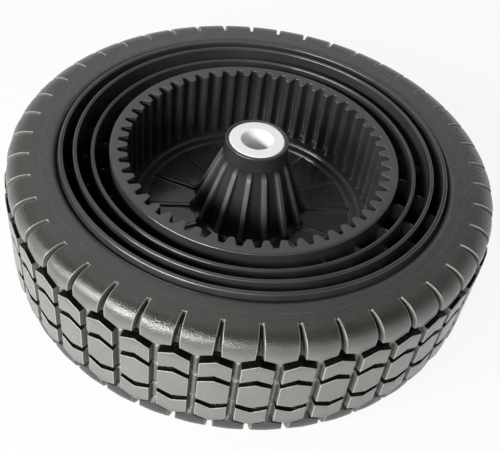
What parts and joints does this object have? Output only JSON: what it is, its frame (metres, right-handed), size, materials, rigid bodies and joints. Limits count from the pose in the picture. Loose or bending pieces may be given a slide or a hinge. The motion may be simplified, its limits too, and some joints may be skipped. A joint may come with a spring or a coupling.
{
  "type": "mower drive wheel",
  "caption": "Mower drive wheel: a solid block-tread tyre on a black moulded wheel with an internal gear ring, a ribbed hub and a white bushing.",
  "frame": {"origin": "on the axle line, in the plane of the lower sidewall that the wheel lies on", "axes": "+Z along the axle line, from the plain side to the gear side"},
  "size_m": [0.2032, 0.2032, 0.0619],
  "materials": {
    "tyre": "matte",
    "body": "satin",
    "bushing": "matte"
  },
  "bodies": {
    "root": {"tyre": "tyre", "wheel_body": "body", "hub_bushing": "bushing"}
  },
  "joints": []
}
